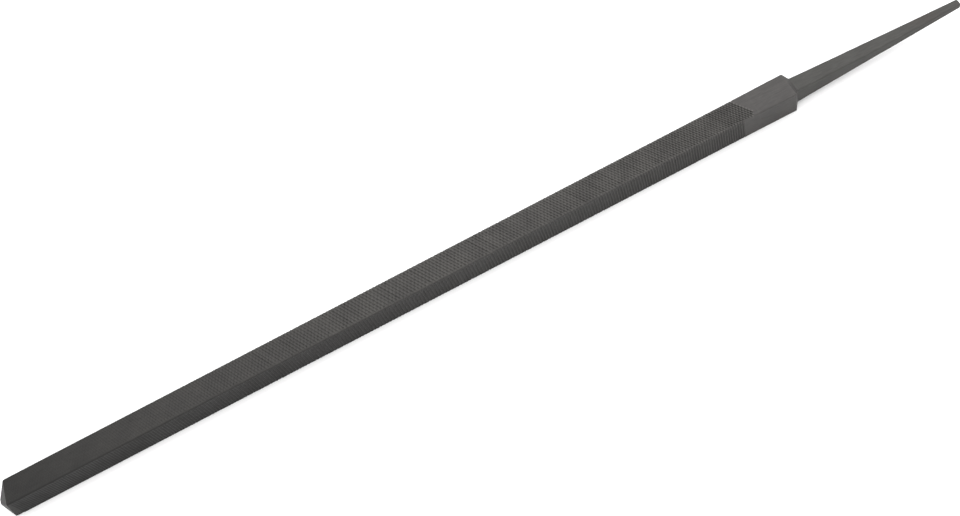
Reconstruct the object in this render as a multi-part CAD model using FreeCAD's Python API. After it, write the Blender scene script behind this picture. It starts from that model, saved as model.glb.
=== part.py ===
"""Square file with a bare tang, lying on one of its four faces.

The file is one forging. Each zone that has its own shape, cut or heat treatment is a node
of its own: the bevelled point, the cut body, the uncut heel, the shoulder and the tang.
They meet face to face and move as one body.

Frame: +X runs from the point to the end of the tang, +Z is up and z = 0 is the face that the
file lies on. The origin is under the middle of the whole tool. Lengths are in millimetres.
"""
import FreeCAD, Part
import os

# The square bar, of one size from the toe to the shoulder
bar_side = 8.25
corner_flat = 0.4  # leg of the small flat along each of the four corners

# Stations along the file, measured from the tip of the point
body_length = 250.0  # tip of the point to the front of the shoulder: the file's trade length
point_length = 4.4  # bevelled end, up to the first tooth
heel_length = 11.5  # plain bar between the cut body and the shoulder
shoulder_length = 1.4  # sloped step from the bar down to the tang
tang_waist_from_shoulder = 25.7  # where the forged tang's taper changes
tang_length = 52.4  # shoulder to the end of the tang

# The point's four bevels, ground by hand and therefore uneven
bevel_length = 2.9  # tip to the foot of the bevels on the centre line
bevel_skew_across = 0.05  # how much further back the foot is, per millimetre of Y
bevel_skew_up = 0.23  # the same, per millimetre of Z
point_flat_side = 1.4  # flat left at the tip between the bevels

# The tang's rectangular sections, as (width across Y, height along Z, corner leg)
tang_root = (5.1, 6.0, 0.5)
tang_waist = (4.0, 3.2, 0.4)
tang_end = (2.2, 1.7, 0.3)
tang_rise = 0.4  # the end of the tang above the bar's centre line

tang_start = body_length + shoulder_length
overall_length = tang_start + tang_length


def section(station, width, height, leg, skew_across=0.0, skew_up=0.0, rise=0.0):
    """Eight corners of a rectangle with its corners cut off, on the bar's centre line.

    It stands square to X, unless a skew moves its corners along X with their Y or Z. A rise
    lifts it above the centre line.
    """
    centre = FreeCAD.Vector(station - overall_length / 2, 0, bar_side / 2 + rise)
    half_y = width / 2
    half_z = height / 2
    quarter = [(half_y, half_z - leg), (half_y - leg, half_z)]
    corners = []
    for sign_y, sign_z in ((1, 1), (-1, 1), (-1, -1), (1, -1)):
        pair = [(sign_y * y, sign_z * z) for y, z in quarter]
        if sign_y != sign_z:
            pair.reverse()
        for y, z in pair:
            corners.append(centre + FreeCAD.Vector(skew_across * y + skew_up * z, y, z))
    return corners


def bar_section(station, skew_across=0.0, skew_up=0.0):
    return section(station, bar_side, bar_side, corner_flat, skew_across, skew_up)


def polygon_face(corners):
    return Part.Face(Part.makePolygon(corners + corners[:1]))


def solid_through(sections):
    """Closed solid with flat faces that passes through a row of eight-cornered sections."""
    faces = [polygon_face(sections[0]), polygon_face(sections[-1])]
    for near, far in zip(sections, sections[1:]):
        for corner in range(len(near)):
            following = (corner + 1) % len(near)
            faces.append(polygon_face([near[corner], near[following], far[following], far[corner]]))
    solid = Part.Solid(Part.makeShell(faces))
    if solid.Volume < 0:
        solid.reverse()
    return solid


def point():
    """Four uneven bevels that close the cut end down to a small flat, and a bit of plain bar."""
    leg = corner_flat * point_flat_side / bar_side
    reach = point_flat_side / 2
    foremost = bevel_skew_across * (reach - leg) + bevel_skew_up * reach
    skew = (bevel_skew_across, bevel_skew_up)
    return solid_through([
        section(foremost, point_flat_side, point_flat_side, leg, *skew),
        bar_section(bevel_length, *skew),
        bar_section(point_length),
    ])


def cut_body():
    """Hardened bar. Its faces are the crests of the teeth."""
    return solid_through([bar_section(point_length), bar_section(body_length - heel_length)])


def heel():
    """Soft uncut end of the bar, whose lower face carries the tool's rest plane on."""
    return solid_through([bar_section(body_length - heel_length), bar_section(body_length)])


def shoulder():
    """Sloped faces that lead from the square bar into the tang and stop a handle's ferrule."""
    return solid_through([bar_section(body_length), section(tang_start, *tang_root)])


def tang():
    """Soft forged spike for a handle, tapering fast to its waist and slowly to its end."""
    waist_station = tang_start + tang_waist_from_shoulder
    return solid_through([
        section(tang_start, *tang_root),
        section(waist_station, *tang_waist, rise=tang_rise * tang_waist_from_shoulder / tang_length),
        section(overall_length, *tang_end, rise=tang_rise),
    ])


os.makedirs("parts", exist_ok=True)
for make_node in (point, cut_body, heel, shoulder, tang):
    shape = make_node()
    name = make_node.__name__
    shape.exportStep("parts/" + name + ".step")
    print(name, "valid", shape.isValid(), "volume", round(shape.Volume, 2), shape.BoundBox)
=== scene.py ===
"""The looks of a square file: toothed body, bevelled point, plain heel and forged tang.

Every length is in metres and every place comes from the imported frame. The four faces of the
body carry real teeth: a sheet of rows is built for each face, trimmed to the face and sewn to
its neighbours along the corners, which makes one closed mesh.
"""
import math
import random
import bmesh
import bpy
from mathutils import Matrix, Vector, noise


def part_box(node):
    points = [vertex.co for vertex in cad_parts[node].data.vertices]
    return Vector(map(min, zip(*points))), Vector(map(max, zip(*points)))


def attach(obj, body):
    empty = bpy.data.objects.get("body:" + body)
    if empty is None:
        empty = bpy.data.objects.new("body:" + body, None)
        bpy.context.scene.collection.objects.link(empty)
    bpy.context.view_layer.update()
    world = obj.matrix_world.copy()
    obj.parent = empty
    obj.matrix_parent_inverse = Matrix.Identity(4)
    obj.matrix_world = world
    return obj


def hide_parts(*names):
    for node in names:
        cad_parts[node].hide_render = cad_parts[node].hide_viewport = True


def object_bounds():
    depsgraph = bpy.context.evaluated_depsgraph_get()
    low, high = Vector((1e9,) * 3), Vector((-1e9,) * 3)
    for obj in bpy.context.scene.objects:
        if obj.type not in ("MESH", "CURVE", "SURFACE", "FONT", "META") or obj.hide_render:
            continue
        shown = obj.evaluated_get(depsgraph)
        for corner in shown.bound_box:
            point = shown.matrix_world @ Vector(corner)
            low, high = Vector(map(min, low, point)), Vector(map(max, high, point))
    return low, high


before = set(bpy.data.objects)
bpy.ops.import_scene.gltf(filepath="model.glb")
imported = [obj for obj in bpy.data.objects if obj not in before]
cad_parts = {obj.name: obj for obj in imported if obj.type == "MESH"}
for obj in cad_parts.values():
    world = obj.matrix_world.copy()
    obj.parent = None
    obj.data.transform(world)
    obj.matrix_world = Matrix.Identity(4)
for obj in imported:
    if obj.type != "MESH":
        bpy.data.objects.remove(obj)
cad_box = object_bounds()

MM = 0.001

# ---------------------------------------------------------------- the bar, from the CAD frame
TIP_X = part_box("point")[0].x
TOE_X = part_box("cut_body")[0].x
HEEL_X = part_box("heel")[0].x
SHOULDER_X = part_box("heel")[1].x
TANG_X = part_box("tang")[0].x
END_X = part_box("tang")[1].x
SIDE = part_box("heel")[1].z
CORNER_FLAT = 0.4 * MM

# How unevenly the skin of each kind of surface lies, and the noise that dents it, in waves per
# metre along the file and across it
GRINDING_DENT = 0.035 * MM
POINT_DENT = 0.05 * MM
FORGING_DENT = 0.10 * MM
COARSE_DENTS = (90, 160)
FINE_DENTS = (420, 500)

# ---------------------------------------------------------------- the cut
# The rows are furthest apart at the middle of the cut and close up evenly towards both ends
MIDDLE_X = (TOE_X + HEEL_X) / 2
MIDDLE_PITCH = 0.997 * MM  # along the file, the deep rows
PITCH_LOSS = 0.00234  # metres of pitch lost per metre away from the middle
SECOND_CUT_WIDER = 1.19  # pitch of the shallow rows that cross them, against the deep rows
SECOND_CUT_SLOPE = math.tan(math.radians(24.1))
# Each row as (share of the pitch, share of the depth): gullet, front of the crest, back of it
FIRST_CUT_PROFILE = ((0.0, 1.0), (0.24, 0.0), (0.36, 0.10))
SECOND_CUT_PROFILE = ((0.0, 1.0), (0.40, 0.0), (0.58, 0.05))
FIRST_CUT_DEPTH = 0.18 * MM
SECOND_CUT_DEPTH = 0.11 * MM
TOE_DEPTH = 0.3  # share of the depth at the toe, where use has worn and clogged the teeth
EDGE_FADE = 0.40 * MM  # the rows thin out this close to a corner
EDGE_DEPTH = 0.2  # share of the depth left at the corner
ROW_WANDER = 0.025  # how far a row strays, as a share of its pitch
DEPTH_WANDER = 0.07  # how far its depth strays, as a share of the depth
TOOTH_GRAIN = 0.03 * MM  # small unevenness of the teeth
TOOTH_GRAIN_RATE = 900  # and its noise, in waves per metre
# A face's sheet of rows is built past both ends of the cut and past its long edges, then trimmed
SHEET_OVERRUN = 6 * MM
SHEET_MARGIN = 0.9 * MM

# How bright the teeth are: 0 in a gullet and 1 on a crest, where the pattern shows fully. The
# single-cut sides are kept darker, painted shade for faces that the light reaches less, and show
# only thin crests, whose brightness follows a power of the height.
SINGLE_CUT_SHADED_CREST = 0.85
SINGLE_CUT_SHARPNESS = 16
# The pattern shows less and less towards the toe: how much of it shows there and at the heel,
# and the even brightness that takes its place on the single-cut and on the crossed faces; the
# single-cut level is kept low, as painted shade on the sides
TOE_SHOWN = 0.06
HEEL_SHOWN = 1.0
HIDDEN_LEVEL = (0.15, 0.55)

# Each face as (outward, angle of the deep rows, whether shallow rows cross them, end of the
# deep rows before the shoulder, the same for the shallow rows), the ends taken along the
# middle of the face. The two sides are cut once, straight across.
CUT_FACES = (
    (Vector((0, 0, 1)), 31.0, 1, 13.8 * MM, 12.0 * MM),
    (Vector((0, -1, 0)), 0.5, 0, 16.1 * MM, 12.0 * MM),
    (Vector((0, 0, -1)), 31.0, 1, 14.6 * MM, 12.8 * MM),
    (Vector((0, 1, 0)), 0.8, 0, 15.6 * MM, 12.0 * MM),
)


def centre_at(x):
    """Centre of the bar's section: the bar lies on the plane z = 0."""
    return Vector((x, 0, SIDE / 2))


def row_lines(profile, wider, first_x, last_x, rng):
    """Lines of a set of rows as (x, depth share, x of the row), with a little wander. Each x is
    where the line crosses the middle of the face."""
    lines = []
    x = first_x
    while x < last_x:
        pitch = (MIDDLE_PITCH - PITCH_LOSS * abs(x - MIDDLE_X)) * wider
        shift = rng.gauss(0, ROW_WANDER)
        depth = 1 + rng.gauss(0, DEPTH_WANDER)
        for share, drop in profile:
            lines.append((x + (share + shift) * pitch, drop * depth, x))
        x += pitch
    return lines


def pressed(spot, dent, seed):
    """How deep the uneven skin lies at a spot, from 0 to about dent. Each seed has its own
    stretch of the noise."""
    along, across = COARSE_DENTS
    coarse = noise.noise(Vector((spot.x * along, spot.y * across, spot.z * across + 7 * seed)))
    along, across = FINE_DENTS
    fine = noise.noise(Vector((spot.x * along, spot.y * across, spot.z * across + 11 * seed)))
    return max(dent * (0.5 + 0.5 * coarse + 0.25 * fine), 0)


def smooth_step(share):
    share = min(max(share, 0), 1)
    return share * share * (3 - 2 * share)


def tooth_brightness(x, depth_share, crossed):
    """Brightness of a spot on the teeth of a crossed (1) or single-cut (0) face."""
    bright = 1 - depth_share
    # The single-cut sides get darker values here: painted shade for faces that the light reaches
    # less
    if not crossed:
        bright = SINGLE_CUT_SHADED_CREST * bright**SINGLE_CUT_SHARPNESS
    along = (x - TOE_X) / (HEEL_X - TOE_X)
    shown = TOE_SHOWN + (HEEL_SHOWN - TOE_SHOWN) * along * abs(along)
    return HIDDEN_LEVEL[crossed] + (bright - HIDDEN_LEVEL[crossed]) * shown


def toothed_sheet(seed, outward, angle, crossed, first_end, second_end):
    """One face's teeth as a bmesh of (x, down, height): down runs across the face, and the
    crests have height 0. It reaches past the face on every side. The layer called crest holds
    the brightness. The layer called cut is 1 on the teeth and 0 on the plain steel past them."""
    rng = random.Random(seed)
    half = SIDE / 2
    slope = math.tan(math.radians(angle))
    spread = slope + SECOND_CUT_SLOPE
    ends = (TOE_X - SHEET_OVERRUN, HEEL_X + SHEET_OVERRUN)
    first_lines = row_lines(FIRST_CUT_PROFILE, 1, *ends, rng)
    second_lines = row_lines(SECOND_CUT_PROFILE, SECOND_CUT_WIDER, *ends, rng)
    full_depth = FIRST_CUT_DEPTH + SECOND_CUT_DEPTH * crossed

    bm = bmesh.new()
    cut = bm.verts.layers.float.new("cut")
    crest = bm.verts.layers.float.new("crest")
    made = {}

    def vertex(i, j):
        if (i, j) in made:
            return made[i, j]
        first_x, first_drop, first_row = first_lines[i]
        second_x, second_drop, second_row = second_lines[j]
        down = (second_x - first_x) / spread
        x = first_x + slope * down
        toothed = first_row < SHOULDER_X - first_end and second_row < SHOULDER_X - second_end
        if toothed:
            drop = FIRST_CUT_DEPTH * first_drop + SECOND_CUT_DEPTH * second_drop * crossed
            bright = tooth_brightness(x, drop / full_depth, crossed)
            drop += TOOTH_GRAIN * abs(noise.noise(Vector((x, down, seed)) * TOOTH_GRAIN_RATE))
            inside = half - CORNER_FLAT - abs(down)
            drop *= EDGE_DEPTH + (1 - EDGE_DEPTH) * smooth_step(inside / EDGE_FADE)
            drop *= TOE_DEPTH + (1 - TOE_DEPTH) * smooth_step((x - TOE_X) / (MIDDLE_X - TOE_X))
        else:
            drop = pressed(bar_face(x, down, 0, outward), GRINDING_DENT, 2)
            bright = 1
        made[i, j] = bm.verts.new((x, down, -drop))
        made[i, j][cut] = float(toothed)
        made[i, j][crest] = bright
        return made[i, j]

    reach = half + SHEET_MARGIN
    for i in range(len(first_lines) - 1):
        for j in range(len(second_lines) - 1):
            if abs(second_lines[j][0] - first_lines[i][0]) / spread > reach:
                continue
            bm.faces.new([vertex(i, j), vertex(i, j + 1), vertex(i + 1, j + 1), vertex(i + 1, j)])
    return bm


def trim(bm, place, outward):
    """Cut away what lies past a plane."""
    everything = bm.verts[:] + bm.edges[:] + bm.faces[:]
    bmesh.ops.bisect_plane(
        bm, geom=everything, dist=1e-8, plane_co=place, plane_no=outward, clear_outer=True
    )


def trimmed_sheet(seed, *cut_face):
    bm = toothed_sheet(seed, *cut_face)
    edge = SIDE / 2 - CORNER_FLAT
    trim(bm, (0, edge, 0), (0, 1, 0))
    trim(bm, (0, -edge, 0), (0, -1, 0))
    trim(bm, (TOE_X, 0, 0), (-1, 0, 0))
    trim(bm, (HEEL_X, 0, 0), (1, 0, 0))
    return bm


def bar_face(x, down, height, outward):
    """A point of a face sheet in the row frame. Down is seen with the tang to the right."""
    across = Vector((1, 0, 0)).cross(outward)
    return centre_at(x) + outward * (SIDE / 2 + height) + across * down


def sewn(chain_a, chain_b, place):
    """Triangles between two chains of vertices that run the same way along the bar."""
    faces = []
    i = j = 0
    while i + 1 < len(chain_a) or j + 1 < len(chain_b):
        step_a = i + 1 < len(chain_a)
        step_b = j + 1 < len(chain_b)
        if step_a and (not step_b or place[chain_a[i + 1]].x <= place[chain_b[j + 1]].x):
            faces.append((chain_a[i], chain_a[i + 1], chain_b[j]))
            i += 1
        else:
            faces.append((chain_a[i], chain_b[j + 1], chain_b[j]))
            j += 1
    return faces


def toothed_body():
    """All four faces, sewn along their corners and capped at both ends."""
    points, faces, crest, teeth = [], [], [], []
    upper_chains, lower_chains, toe_loop, heel_loop = [], [], [], []
    tiny = 1e-7
    for seed, cut_face in enumerate(CUT_FACES):
        outward = cut_face[0]
        bm = trimmed_sheet(seed, *cut_face)
        cut = bm.verts.layers.float["cut"]
        pattern = bm.verts.layers.float["crest"]
        base = len(points)
        bm.verts.index_update()
        edge_places = {"upper": [], "lower": [], "toe": [], "heel": []}
        for v in bm.verts:
            x, down, height = v.co
            number = base + v.index
            limit = SIDE / 2 - CORNER_FLAT
            if down > limit - tiny:
                edge_places["lower"].append((x, number))
            if down < -limit + tiny:
                edge_places["upper"].append((x, number))
            if x < TOE_X + tiny:
                edge_places["toe"].append((down, number))
            if x > HEEL_X - tiny:
                edge_places["heel"].append((down, number))
            points.append(bar_face(x, down, height, outward))
            crest.append(v[pattern])
            teeth.append(v[cut])
        faces += [[base + v.index for v in f.verts] for f in bm.faces]
        ordered = {key: [n for _, n in sorted(found)] for key, found in edge_places.items()}
        upper_chains.append(ordered["upper"])
        lower_chains.append(ordered["lower"])
        toe_loop += ordered["toe"]
        heel_loop += ordered["heel"]
        bm.free()
    for k in range(len(CUT_FACES)):
        faces += sewn(lower_chains[k], upper_chains[(k + 1) % len(CUT_FACES)], points)
    faces.append(toe_loop)
    faces.append(heel_loop)
    piece = mesh_piece("toothed_body", points, faces)
    for key, values in (("crest", crest), ("cut", teeth)):
        piece.data.attributes.new(key, "FLOAT", "POINT").data.foreach_set("value", values)
    return piece


def mesh_piece(name, points, faces):
    mesh = bpy.data.meshes.new(name)
    mesh.from_pydata(points, [], faces)
    bm = bmesh.new()
    bm.from_mesh(mesh)
    bmesh.ops.recalc_face_normals(bm, faces=bm.faces)
    bm.to_mesh(mesh)
    bm.free()
    piece = bpy.data.objects.new(name, mesh)
    bpy.context.scene.collection.objects.link(piece)
    return piece


# ---------------------------------------------------------------- the smooth pieces
ARC_STEPS = 4  # steps round each rounded corner
SIDE_STEPS = 6  # steps along each flat side of a section
SHARP_ANGLE = math.radians(8)  # edges that turn by more than this show as edges


def ring(width, height, radius, roundness=1):
    """A rounded rectangle as (y, z, outward y, outward z), the same count for every size. A
    roundness of 0 makes the corners flat."""
    found = []
    half_y, half_z = width / 2 - radius, height / 2 - radius
    for quarter in range(4):
        start = quarter * math.pi / 2
        sign_y = (1, -1, -1, 1)[quarter]
        sign_z = (1, 1, -1, -1)[quarter]
        for step in range(ARC_STEPS + 1):
            angle = start + step / ARC_STEPS * math.pi / 2
            ny, nz = math.cos(angle), math.sin(angle)
            share = step / ARC_STEPS
            flat_y = (1 - share) * math.cos(start) - share * math.sin(start)
            flat_z = (1 - share) * math.sin(start) + share * math.cos(start)
            y = flat_y + (ny - flat_y) * roundness
            z = flat_z + (nz - flat_z) * roundness
            found.append((sign_y * half_y + radius * y, sign_z * half_z + radius * z, ny, nz))
        next_y = (-1, -1, 1, 1)[quarter]
        next_z = (1, -1, -1, 1)[quarter]
        end = found[-1]
        goal = (next_y * half_y + radius * end[2], next_z * half_z + radius * end[3])
        for step in range(1, SIDE_STEPS):
            share = step / SIDE_STEPS
            y = end[0] + (goal[0] - end[0]) * share
            z = end[1] + (goal[1] - end[1]) * share
            found.append((y, z, end[2], end[3]))
    return found


def lofted(name, sections, dent=0.0, seed=0, skew=(0, 0)):
    """A closed piece through sections on the bar's centre line, each given as (x, width, height,
    radius), then if wanted the roundness, then its lean. Its skin is pressed in by up to dent,
    unevenly, as forging and grinding leave it. The skew is how far a point's x moves with its y
    and its z where the lean is 1."""
    points, faces = [], []
    for x, *shape in sections:
        lean = shape.pop() if len(shape) > 4 else 0
        for y, z, ny, nz in ring(*shape):
            spot = centre_at(x + lean * (skew[0] * y + skew[1] * z)) + Vector((0, y, z))
            points.append(spot - Vector((0, ny, nz)) * pressed(spot, dent, seed))
    count = len(points) // len(sections)
    for row in range(len(sections) - 1):
        for k in range(count):
            near, far = row * count, (row + 1) * count
            following = (k + 1) % count
            faces.append((near + k, near + following, far + following, far + k))
    faces.append(list(range(count)))
    faces.append(list(range(len(points) - count, len(points))))
    piece = mesh_piece(name, points, faces)
    for polygon in piece.data.polygons:
        polygon.use_smooth = True
    piece.data.set_sharp_from_angle(angle=SHARP_ANGLE)
    return piece


def spaced(start, stop, steps):
    return [start + (stop - start) * k / steps for k in range(steps + 1)]


def blended(low, high, share):
    return tuple(a + (b - a) * share for a, b in zip(low, high))


BEVEL_SKEW = (0.05, 0.23)  # how far the bevels' foot moves along x with y and z
BEVEL_FOOT_X = TIP_X + 2.9 * MM
POINT_INSET = 0.06 * MM  # how far the point's faces lie inside the first crests
POINT_FLAT = 1.4 * MM  # side of the flat between the bevels
POINT_RADIUS = 0.2 * MM  # of the bevels' ridges at that flat
POINT_ROUNDNESS = 0.3  # ground corners, hardly rounded
FLAT_WEAR = 0.2 * MM  # how much smaller wear has made the flat at its very end
FLAT_RADIUS = 0.15 * MM
POINT_CREST = 0.6  # brightness of the point's faces, as on a tooth


def bevelled_point():
    """Four uneven ground bevels on the cut end of the bar, just inside the first crests."""
    base_side = SIDE - 2 * POINT_INSET
    base = (base_side, base_side, CORNER_FLAT, POINT_ROUNDNESS)
    tip = (POINT_FLAT, POINT_FLAT, POINT_RADIUS, POINT_ROUNDNESS)
    tip_x = TIP_X + sum(BEVEL_SKEW) * POINT_FLAT / 2
    worn_flat = POINT_FLAT - FLAT_WEAR
    sections = [(tip_x, worn_flat, worn_flat, FLAT_RADIUS, POINT_ROUNDNESS, 1)]
    for share in spaced(0.03, 0.97, 10):
        sections.append((tip_x + (BEVEL_FOOT_X - tip_x) * share, *blended(tip, base, share), 1))
    for share in spaced(0, 1, 4):
        sections.append((BEVEL_FOOT_X + (TOE_X - BEVEL_FOOT_X) * share, *base, 1 - share))
    piece = lofted("bevelled_point", sections, dent=POINT_DENT, seed=1, skew=BEVEL_SKEW)
    for key, value in (("crest", POINT_CREST), ("cut", 1.0)):
        layer = piece.data.attributes.new(key, "FLOAT", "POINT").data
        layer.foreach_set("value", [value] * len(layer))
    return piece


HEEL_ROUNDING_LENGTH = 4 * MM  # over which the heel's corners go from flat to round


def plain_heel():
    """Uncut bar, whose corners start as the flats of the cut body and turn round."""
    sections = []
    for x in spaced(HEEL_X, SHOULDER_X, 24):
        roundness = smooth_step((x - HEEL_X) / HEEL_ROUNDING_LENGTH)
        sections.append((x, SIDE, SIDE, CORNER_FLAT, roundness))
    return lofted("plain_heel", sections, dent=GRINDING_DENT, seed=2)


# The tang's sections, as (width, height, radius)
TANG_ROOT = (5.1 * MM, 6.0 * MM, 0.6 * MM)
TANG_WAIST = (4.0 * MM, 3.2 * MM, 0.5 * MM)
TANG_END = (2.2 * MM, 1.7 * MM, 0.3 * MM)
TANG_END_WEAR = 0.3 * MM  # length and width that the rounding of its end takes away
TANG_END_RADIUS = 0.2 * MM
TANG_RISE = 0.4 * MM  # the end of the tang above the bar's centre line
WAIST_X = TANG_X + 25.7 * MM
SHOULDER_EASING = 0.25  # how far the shoulder's slope is rounded off, from 0 to 1


def sloped_shoulder():
    """The step from the bar down to the tang, a little rounded at its top and at its foot."""
    bar = (SIDE, SIDE, CORNER_FLAT)
    sections = []
    for share in spaced(0, 1, 8):
        eased = (1 - SHOULDER_EASING) * share + SHOULDER_EASING * smooth_step(share)
        x = SHOULDER_X + (TANG_X - SHOULDER_X) * share
        sections.append((x, *blended(bar, TANG_ROOT, eased)))
    return lofted("sloped_shoulder", sections, dent=GRINDING_DENT, seed=2)


def forged_tang():
    """Two tapers with rounded corners, from the shoulder to a worn end."""
    sections = []
    for x in spaced(TANG_X, WAIST_X, 50):
        share = (x - TANG_X) / (WAIST_X - TANG_X)
        sections.append((x, *blended(TANG_ROOT, TANG_WAIST, share)))
    for x in spaced(WAIST_X, END_X - TANG_END_WEAR, 50)[1:]:
        share = (x - WAIST_X) / (END_X - WAIST_X)
        sections.append((x, *blended(TANG_WAIST, TANG_END, share)))
    worn = [size - TANG_END_WEAR for size in TANG_END[:2]]
    sections.append((END_X, *worn, TANG_END_RADIUS))
    piece = lofted("forged_tang", sections, dent=FORGING_DENT, seed=4)
    for vertex in piece.data.vertices:
        vertex.co.z += TANG_RISE * (vertex.co.x - TANG_X) / (END_X - TANG_X)
    return piece


# ---------------------------------------------------------------- materials
TOE_SHADE_LENGTH = 0.62  # share of the cut's length, from the toe, over which the painted shade fades out and the cut gets lighter
TOE_SHADE = 0.3  # how light the toe is against the rest of the cut: painted shade, as the light falls off towards the toe


def node(tree, kind, **settings):
    made = tree.nodes.new(kind)
    for key, value in settings.items():
        setattr(made, key, value)
    return made


def noise_node(tree, place, scale, stretch=(1, 1, 1), detail=4.0):
    """Noise over object coordinates, drawn out along an axis where stretch is under 1."""
    mapping = node(tree, "ShaderNodeMapping")
    mapping.inputs["Scale"].default_value = stretch
    tree.links.new(place, mapping.inputs["Vector"])
    grain = node(tree, "ShaderNodeTexNoise")
    grain.inputs["Scale"].default_value = scale
    grain.inputs["Detail"].default_value = detail
    tree.links.new(mapping.outputs["Vector"], grain.inputs["Vector"])
    return grain.outputs["Fac"]


def ramp(tree, source, low, high, low_value, high_value):
    """Source from low to high, as a value or a colour from low_value to high_value."""
    colours = [v if isinstance(v, tuple) else (v, v, v) for v in (low_value, high_value)]
    made = node(tree, "ShaderNodeValToRGB")
    for element, place, colour in zip(made.color_ramp.elements, (low, high), colours):
        element.position = place
        element.color = (*colour, 1)
    tree.links.new(source, made.inputs["Fac"])
    return made.outputs["Color"]


def mixed(tree, fac, a, b, blend="MIX"):
    made = node(tree, "ShaderNodeMix", data_type="RGBA", blend_type=blend)
    sockets = [s for s in made.inputs if s.enabled]
    for socket, value in zip(sockets, (fac, a, b)):
        if isinstance(value, bpy.types.NodeSocket):
            tree.links.new(value, socket)
        elif isinstance(value, tuple):
            socket.default_value = (*value, 1)
        else:
            socket.default_value = value
    return next(s for s in made.outputs if s.enabled)


def steel(name, plain, tint, roughness, grain_height, teeth=None):
    """Dark steel: patchy oxide between the two plain colours, a tint in places, fine ground
    grain along the file and brighter corners. Teeth are the four colours of the gullets, of the
    duller and the lighter flanks and of the crests, and they show where the mesh is cut."""
    material = bpy.data.materials.new(name)
    material.use_nodes = True
    tree = material.node_tree
    shader = tree.nodes["Principled BSDF"]
    place = node(tree, "ShaderNodeTexCoord").outputs["Object"]
    patches = noise_node(tree, place, 160, detail=5.0)
    grain = noise_node(tree, place, 3200, stretch=(0.12, 1, 1), detail=3.0)
    blotches = noise_node(tree, place, 60, detail=2.0)
    worn = node(tree, "ShaderNodeNewGeometry").outputs["Pointiness"]
    colour = ramp(tree, patches, 0.3, 0.7, *plain)
    colour = mixed(tree, ramp(tree, blotches, 0.52, 0.72, 0.0, 0.6), colour, tint)
    colour = mixed(tree, ramp(tree, worn, 0.51, 0.58, 0.0, 0.5), colour, plain[1])
    if teeth:
        gullet, low, high, crest = teeth
        height = node(tree, "ShaderNodeAttribute", attribute_name="crest").outputs["Fac"]
        cut = node(tree, "ShaderNodeAttribute", attribute_name="cut").outputs["Fac"]
        along = node(tree, "ShaderNodeSeparateXYZ")
        tree.links.new(place, along.inputs[0])
        # Painted shade: the teeth are darkened towards the toe, standing in for the light falling
        # off there
        toe_shade_range = node(tree, "ShaderNodeMapRange")
        toe_shade_range.inputs["From Min"].default_value = TOE_X
        toe_shade_range.inputs["From Max"].default_value = TOE_X + TOE_SHADE_LENGTH * (HEEL_X - TOE_X)
        tree.links.new(along.outputs["X"], toe_shade_range.inputs["Value"])
        flank = mixed(tree, ramp(tree, patches, 0.3, 0.7, 0.0, 1.0), low, high)
        flank = mixed(tree, ramp(tree, height, 0.1, 0.6, 0.0, 1.0), gullet, flank)
        flank = mixed(tree, ramp(tree, height, 0.72, 1.0, 0.0, 0.8), flank, crest)
        shade = ramp(tree, toe_shade_range.outputs["Result"], 0.0, 1.0, TOE_SHADE, 1.0)
        flank = mixed(tree, 1.0, flank, shade, "MULTIPLY")
        colour = mixed(tree, cut, colour, flank)
    colour = mixed(tree, 0.35, colour, ramp(tree, grain, 0.3, 0.7, 0.35, 0.75), "OVERLAY")
    tree.links.new(colour, shader.inputs["Base Color"])
    rough = ramp(tree, patches, 0.3, 0.7, roughness - 0.06, roughness + 0.08)
    tree.links.new(rough, shader.inputs["Roughness"])
    shader.inputs["Metallic"].default_value = 0.6
    bump = node(tree, "ShaderNodeBump")
    bump.inputs["Strength"].default_value = 0.5
    bump.inputs["Distance"].default_value = grain_height
    tree.links.new(grain, bump.inputs["Height"])
    tree.links.new(bump.outputs["Normal"], shader.inputs["Normal"])
    return material


GROUND = ((0.037, 0.035, 0.034), (0.057, 0.054, 0.052))
WARM = (0.047, 0.039, 0.036)
ROUGHNESS = 0.58


def cut_steel():
    gullet, low = (0.021, 0.020, 0.019), (0.044, 0.042, 0.040)
    high, crest = (0.069, 0.066, 0.062), (0.104, 0.100, 0.095)
    return steel("cut_steel", GROUND, WARM, ROUGHNESS, 0.008 * MM, (gullet, low, high, crest))


def heel_steel():
    return steel("heel_steel", GROUND, WARM, ROUGHNESS, 0.008 * MM)


def tang_steel():
    forged = ((0.034, 0.033, 0.031), (0.055, 0.054, 0.051))
    return steel("tang_steel", forged, (0.042, 0.036, 0.033), 0.62, 0.012 * MM)


def floor_paper():
    material = bpy.data.materials.new("floor_paper")
    material.use_nodes = True
    shader = material.node_tree.nodes["Principled BSDF"]
    shader.inputs["Base Color"].default_value = (0.9, 0.9, 0.9, 1)
    shader.inputs["Roughness"].default_value = 0.9
    shader.inputs["Specular IOR Level"].default_value = 0.0
    return material


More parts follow.
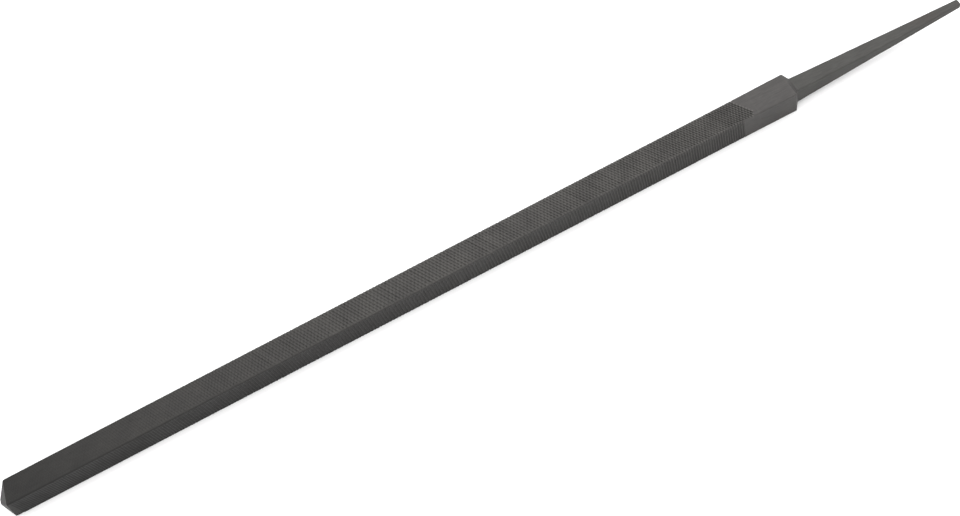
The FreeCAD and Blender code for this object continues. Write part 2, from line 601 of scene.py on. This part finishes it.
# ---------------------------------------------------------------- the set
def floor():
    size = 6.0
    bpy.ops.mesh.primitive_plane_add(size=size, location=(0, 0, cad_box[0].z))
    piece = bpy.context.object
    piece.name = "floor"
    piece.data.materials.append(floor_paper())


def camera():
    """Looks down at the file from in front of its -Y side, rolled so that it rises to the right."""
    azimuth, elevation, roll = math.radians(0.046), math.radians(59.171), math.radians(-27.547)
    distance = 0.33712
    aim = Vector((-0.00042, -0.00136, 0.0041))
    across = math.cos(elevation)
    back = Vector((math.sin(azimuth) * across, -math.cos(azimuth) * across, math.sin(elevation)))
    data = bpy.data.cameras.new("camera")
    data.lens = 45.03
    data.clip_start = 0.01
    piece = bpy.data.objects.new("camera", data)
    turn = (-back).to_track_quat("-Z", "Y").to_matrix() @ Matrix.Rotation(roll, 3, "Z")
    piece.matrix_world = Matrix.Translation(aim + back * distance) @ turn.to_4x4()
    bpy.context.scene.collection.objects.link(piece)
    bpy.context.scene.camera = piece


def softbox(name, place, size, power):
    """A square area light that faces the middle of the file."""
    data = bpy.data.lights.new(name, "AREA")
    data.size = size
    data.energy = power
    piece = bpy.data.objects.new(name, data)
    piece.location = place
    piece.rotation_euler = (-Vector(place)).to_track_quat("-Z", "Y").to_euler()
    bpy.context.scene.collection.objects.link(piece)


def lighting():
    world = bpy.data.worlds.new("studio")
    bpy.context.scene.world = world
    world.use_nodes = True
    world.node_tree.nodes["Background"].inputs["Color"].default_value = (1, 1, 1, 1)
    world.node_tree.nodes["Background"].inputs["Strength"].default_value = 1.5
    softbox("key", (0.5, 0.45, 1.1), 1.0, 8)
    softbox("fill", (0.5, -0.8, 1.0), 1.0, 4)
    bpy.context.scene.view_settings.view_transform = "Standard"


def put(piece, material, node_name):
    piece.data.materials.append(material)
    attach(piece, "root")
    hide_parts(node_name)


camera()
floor()
lighting()
cut = cut_steel()
plain = heel_steel()
put(toothed_body(), cut, "cut_body")
put(bevelled_point(), cut, "point")
put(plain_heel(), plain, "heel")
put(sloped_shoulder(), plain, "shoulder")
put(forged_tang(), tang_steel(), "tang")
